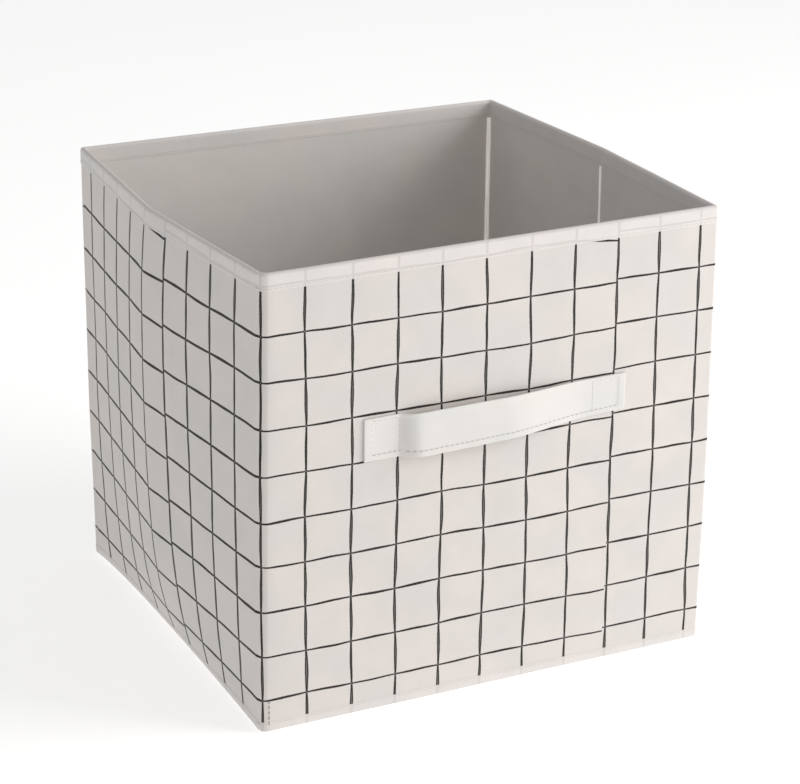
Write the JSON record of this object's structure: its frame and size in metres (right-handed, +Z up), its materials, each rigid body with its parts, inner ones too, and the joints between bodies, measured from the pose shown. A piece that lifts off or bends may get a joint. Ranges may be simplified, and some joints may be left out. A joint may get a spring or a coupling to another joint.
{
  "type": "fabric storage bin",
  "caption": "Open-topped folding storage bin of stiffened printed cloth, with taped rim, creased side walls, sewn carrying strap on the front and a loose bottom insert.",
  "frame": {"origin": "on the floor at the middle of the bin's footprint", "axes": "+X to the right along the front wall, the front wall with its strap faces -Y, +Z up"},
  "size_m": [0.3008, 0.2947, 0.286],
  "materials": {
    "printed_cloth": "matte non-woven cloth with a printed hand-drawn grid",
    "lining_cloth": "matte plain non-woven cloth",
    "stiffener": "grey-brown board",
    "rim_tape": "thin translucent non-woven tape",
    "bottom_tape": "thin non-woven tape",
    "seam_binding": "bound seam",
    "floor_cloth": "matte plain non-woven cloth",
    "insert_cloth": "matte plain non-woven cloth",
    "strap": "folded non-woven strap",
    "thread": "sewing thread"
  },
  "bodies": {
    "back_wall_and_floor": {"back_cover": "printed_cloth", "back_board": "stiffener", "back_lining": "lining_cloth", "back_rim_tape": "rim_tape", "back_left_corner_seam": "seam_binding", "back_right_corner_seam": "seam_binding", "floor_cloth": "floor_cloth", "front_bottom_tape": "bottom_tape", "back_bottom_tape": "bottom_tape", "left_bottom_tape": "bottom_tape", "right_bottom_tape": "bottom_tape"},
    "left_back_half": {"left_back_cover": "printed_cloth", "left_back_board": "stiffener", "left_back_lining": "lining_cloth", "left_back_rim_tape": "rim_tape"},
    "left_front_half": {"left_front_cover": "printed_cloth", "left_front_board": "stiffener", "left_front_lining": "lining_cloth", "left_front_rim_tape": "rim_tape", "left_crease_seam": "seam_binding"},
    "front_wall": {"front_cover": "printed_cloth", "front_board": "stiffener", "front_lining": "lining_cloth", "front_rim_tape": "rim_tape", "front_left_corner_seam": "seam_binding", "front_right_corner_seam": "seam_binding", "handle_strap": "strap", "handle_stitching": "thread"},
    "right_back_half": {"right_back_cover": "printed_cloth", "right_back_board": "stiffener", "right_back_lining": "lining_cloth", "right_back_rim_tape": "rim_tape"},
    "right_front_half": {"right_front_cover": "printed_cloth", "right_front_board": "stiffener", "right_front_lining": "lining_cloth", "right_front_rim_tape": "rim_tape", "right_crease_seam": "seam_binding"},
    "bottom_insert": {"insert_board": "stiffener", "insert_top_cover": "insert_cloth", "insert_bottom_cover": "insert_cloth"}
  },
  "joints": [
    {"name": "fold", "type": "hinge", "parent": "back_wall_and_floor", "child": "left_back_half", "pos_m": [-0.1451, 0.1381, 0.143], "axis": [0, 0, 1], "range_deg": [0, 90]},
    {"name": "left_crease", "type": "hinge", "parent": "left_back_half", "child": "left_front_half", "pos_m": [-0.1519, 0, 0.143], "axis": [0, 0, 1], "range_deg": [-180, 0]},
    {"name": "front_left_corner", "type": "hinge", "parent": "left_front_half", "child": "front_wall", "pos_m": [-0.1451, -0.1381, 0.143], "axis": [0, 0, 1], "range_deg": [0, 90]},
    {"name": "back_right_corner", "type": "hinge", "parent": "back_wall_and_floor", "child": "right_back_half", "pos_m": [0.1451, 0.1381, 0.143], "axis": [0, 0, 1], "range_deg": [-90, 0]},
    {"name": "right_crease", "type": "hinge", "parent": "right_back_half", "child": "right_front_half", "pos_m": [0.1519, 0, 0.143], "axis": [0, 0, 1], "range_deg": [0, 180]},
    {"name": "insert_lift", "type": "slide", "parent": "back_wall_and_floor", "child": "bottom_insert", "axis": [0, 0, 1], "range_m": [0, 0.31]}
  ],
  "couplings": [
    {"joint": "left_crease", "follows": "fold", "ratio": -2},
    {"joint": "front_left_corner", "follows": "fold", "ratio": 1},
    {"joint": "back_right_corner", "follows": "fold", "ratio": -1},
    {"joint": "right_crease", "follows": "fold", "ratio": 2}
  ]
}
